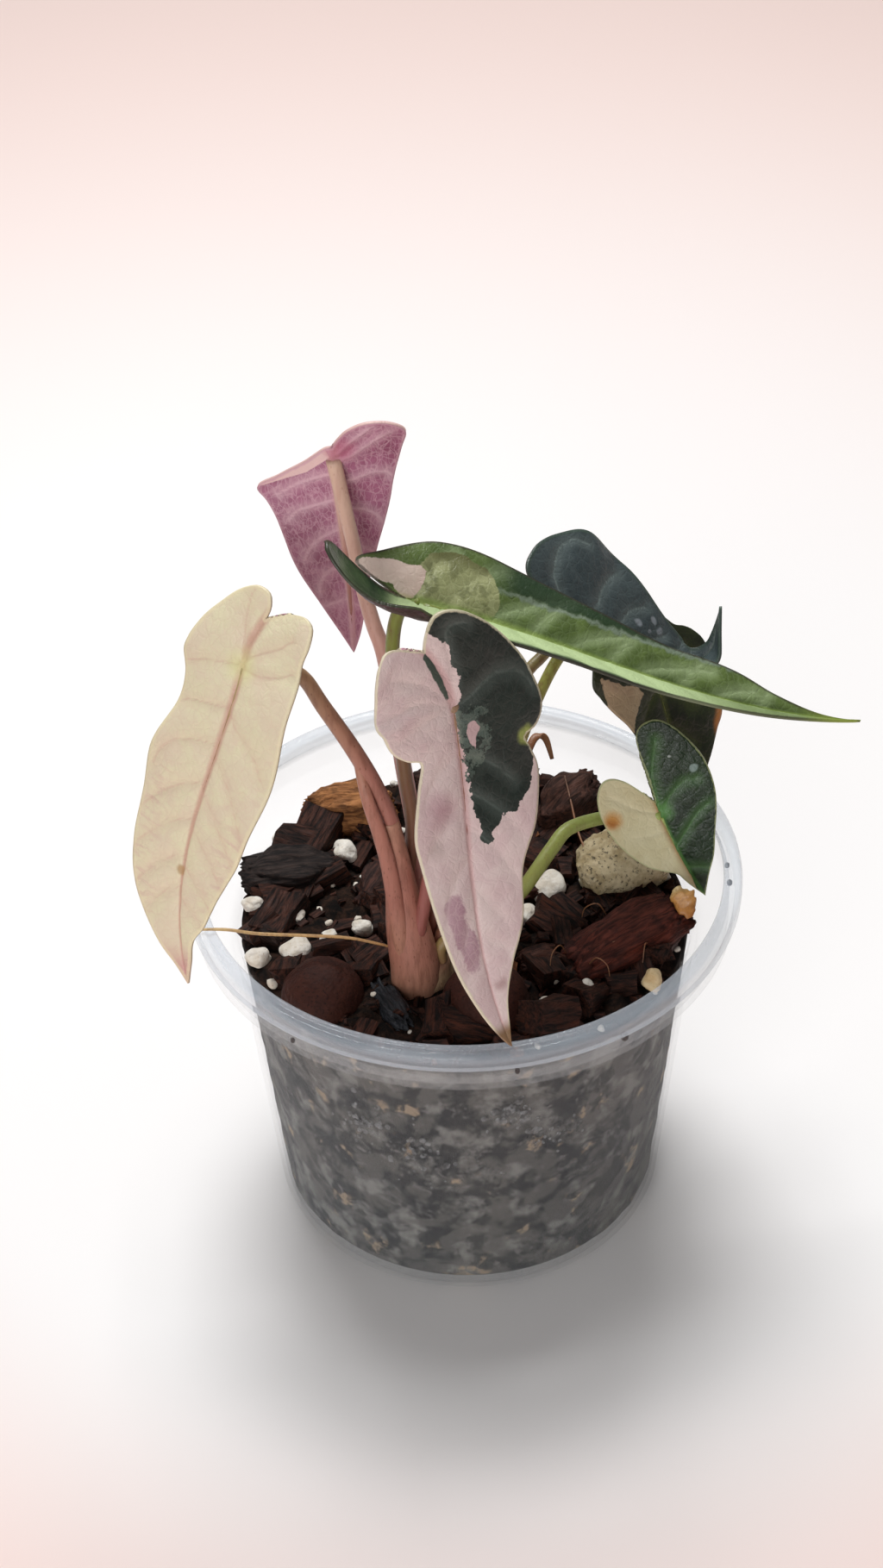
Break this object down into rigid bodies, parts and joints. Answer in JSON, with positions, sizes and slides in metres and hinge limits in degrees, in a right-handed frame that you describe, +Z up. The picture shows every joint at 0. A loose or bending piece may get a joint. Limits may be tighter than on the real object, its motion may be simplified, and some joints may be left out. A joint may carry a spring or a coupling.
{
  "type": "potted bambino alocasia",
  "caption": "Young potted alocasia: arrow-shaped cream, mauve, pink and dark green leaves on fleshy stalks in a clear tub of bark and perlite mix.",
  "frame": {"origin": "centre of the tub's flat underside", "axes": "+Z up, +X to the right as seen in the picture, +Y away from the viewer"},
  "size_m": [0.1248, 0.1044, 0.1679],
  "materials": {
    "clear_plastic": "translucent, smooth",
    "dark_mix": "rough, moist",
    "stalk_skin": "satin",
    "leaf_cream_skin": "satin",
    "leaf_mauve_skin": "satin",
    "leaf_green_skin": "satin",
    "leaf_pink_skin": "satin",
    "leaf_dark_skin": "satin",
    "bark": "rough",
    "charcoal_black": "rough",
    "pumice_stone": "rough",
    "fired_clay": "matt",
    "perlite_white": "rough",
    "straw_fibre": "matt"
  },
  "bodies": {
    "root": {"tub": "clear_plastic", "potting_mix": "dark_mix", "stem_base": "stalk_skin", "leaf_cream": "leaf_cream_skin", "leaf_mauve": "leaf_mauve_skin", "leaf_green": "leaf_green_skin", "leaf_centre": "leaf_pink_skin", "leaf_dark": "leaf_dark_skin", "leaf_back": "leaf_dark_skin", "leaf_small": "leaf_dark_skin", "bark_red": "bark", "bark_black": "bark", "bark_orange": "bark", "bark_back": "bark", "bark_middle": "bark", "bark_left": "bark", "bark_far": "bark", "bark_right": "bark", "charcoal": "charcoal_black", "pumice": "pumice_stone", "clay_ball_left": "fired_clay", "clay_ball_front": "fired_clay", "perlite_01": "perlite_white", "perlite_02": "perlite_white", "perlite_03": "perlite_white", "perlite_04": "perlite_white", "perlite_05": "perlite_white", "perlite_06": "perlite_white", "perlite_07": "perlite_white", "perlite_08": "perlite_white", "perlite_09": "perlite_white", "perlite_10": "perlite_white", "perlite_11": "perlite_white", "perlite_12": "perlite_white", "perlite_13": "perlite_white", "perlite_14": "perlite_white", "perlite_15": "perlite_white", "perlite_16": "perlite_white", "straw": "straw_fibre"}
  },
  "joints": []
}
